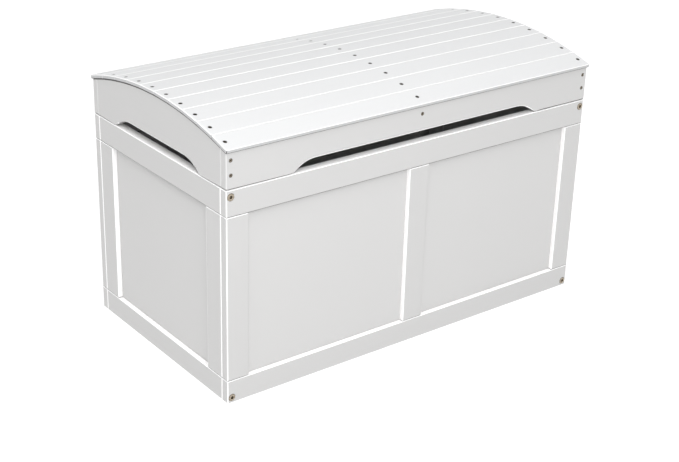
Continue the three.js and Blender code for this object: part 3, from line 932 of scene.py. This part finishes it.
def add_bolts():
    """The eight connector bolts, front and back."""
    names = [node for node, slot in node_slots().items() if slot == "bronze"]
    low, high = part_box(names[0])
    length = high.y - low.y
    head_radius = (high.z - low.z) / 2
    master = bolt_master(length, head_radius, BOLT_HEAD_DEPTH, BOLT_SHANK_RADIUS)
    for wall, way in (("front", -1), ("back", 1)):
        places = []
        nodes = [node for node in names if node.startswith(wall)]
        for node in nodes:
            low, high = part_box(node)
            middle = (low + high) / 2
            face = low.y if way < 0 else high.y
            places.append((Vector((middle.x, face, middle.z)), Vector((0, way, 0))))
        name = f"{wall}_connector_bolts"
        set_fastenings(name, points_object(places), master, BRONZE, "box", seed=29, nodes=nodes)
    bpy.data.objects.remove(master)


def add_screws():
    """Every countersunk screw: long ones in the lid and the cleats, short ones in the hinges."""
    dark = screw_master(DARK_BRONZE, SCREW_LENGTH)
    add_slat_screws(dark)
    add_rail_screws(dark)
    add_cleat_screws(dark)
    short = screw_master(ZINC, HINGE_SCREW_LENGTH)
    add_hinge_screws(short)
    bpy.data.objects.remove(dark)
    bpy.data.objects.remove(short)


# ---------------------------------------------------------------- studio


def add_camera():
    """The camera that sees the chest's front and left end from a little above its lid."""
    heading, tilt = CAMERA_HEADING, CAMERA_TILT
    back = Vector((math.sin(heading) * math.cos(tilt), -math.cos(heading) * math.cos(tilt), math.sin(tilt)))
    right = Vector((math.cos(heading), math.sin(heading), 0))
    facing = Matrix((right, back.cross(right), back)).transposed().to_4x4()
    data = bpy.data.cameras.new("camera")
    data.sensor_width = SENSOR_WIDTH
    data.lens = CAMERA_LENS
    camera = bpy.data.objects.new("camera", data)
    camera.matrix_world = Matrix.Translation(CAMERA_PLACE) @ facing @ Matrix.Rotation(CAMERA_ROLL, 4, "Z")
    bpy.context.scene.collection.objects.link(camera)
    bpy.context.scene.camera = camera


def add_floor():
    """A plain white floor that runs out past the edge of every view."""
    work = bmesh.new()
    bmesh.ops.create_circle(work, cap_ends=True, segments=64, radius=FLOOR_RADIUS)
    bmesh.ops.translate(work, verts=work.verts, vec=(0, 0, -FLOOR_DROP))
    white = Recipe("white_floor", "floor")
    shade = white.noise(white.place, 3.0, 2.0)
    darker, lighter = FLOOR_LEVELS
    white.feed(white.shader.inputs["Base Color"], white.mixed(tone(darker), tone(lighter), shade))
    white.feed(white.shader.inputs["Roughness"], 0.9)
    white.feed(white.shader.inputs["Emission Color"], tone(1.0))
    white.feed(white.shader.inputs["Emission Strength"], FLOOR_GLOW)
    object_from(mesh_from(work, "studio_floor"), "studio_floor", white)


def add_light():
    """A wide, far softbox overhead, a near one to the front and left, and a white surround."""
    overhead = bpy.data.lights.new("overhead_softbox", "SUN")
    overhead.energy = math.pi * OVERHEAD_LEVEL
    overhead.angle = OVERHEAD_SPREAD
    front = bpy.data.lights.new("front_left_softbox", "AREA")
    front.energy = FRONT_SOFTBOX_POWER
    front.shape = "SQUARE"
    front.size = FRONT_SOFTBOX_SIZE
    for data, place, back in (
        (overhead, OVERHEAD_TOWARDS, OVERHEAD_TOWARDS),
        (front, FRONT_SOFTBOX_PLACE, FRONT_SOFTBOX_PLACE - Vector((0, 0, CHEST_MIDDLE))),
    ):
        softbox = bpy.data.objects.new(data.name, data)
        softbox.rotation_mode = "QUATERNION"
        softbox.rotation_quaternion = back.to_track_quat("Z", "Y")
        softbox.location = place
        bpy.context.scene.collection.objects.link(softbox)

    world = bpy.data.worlds.new("white_surround")
    world.use_nodes = True
    bpy.context.scene.world = world
    build = NodeTree(world.node_tree)
    way = build.add("ShaderNodeTexCoord").outputs["Generated"]
    up = build.add("ShaderNodeSeparateXYZ", {"Vector": way}).outputs["Z"]
    level = build.add(
        "ShaderNodeMapRange",
        {
            "Value": up,
            "From Min": HORIZON_TOP,
            "From Max": SKY_FROM,
            "To Min": HORIZON_LEVEL,
            "To Max": SKY_LEVEL,
        },
    ).outputs[0]
    build.feed(world.node_tree.nodes["Background"].inputs["Strength"], level)
    build.feed(world.node_tree.nodes["Background"].inputs["Color"], tone(1.0))


add_camera()
add_light()
add_floor()
add_boards()
add_hinges()
add_bolts()
add_barrel_nuts()
add_screws()

bpy.context.scene.view_settings.view_transform = "Standard"
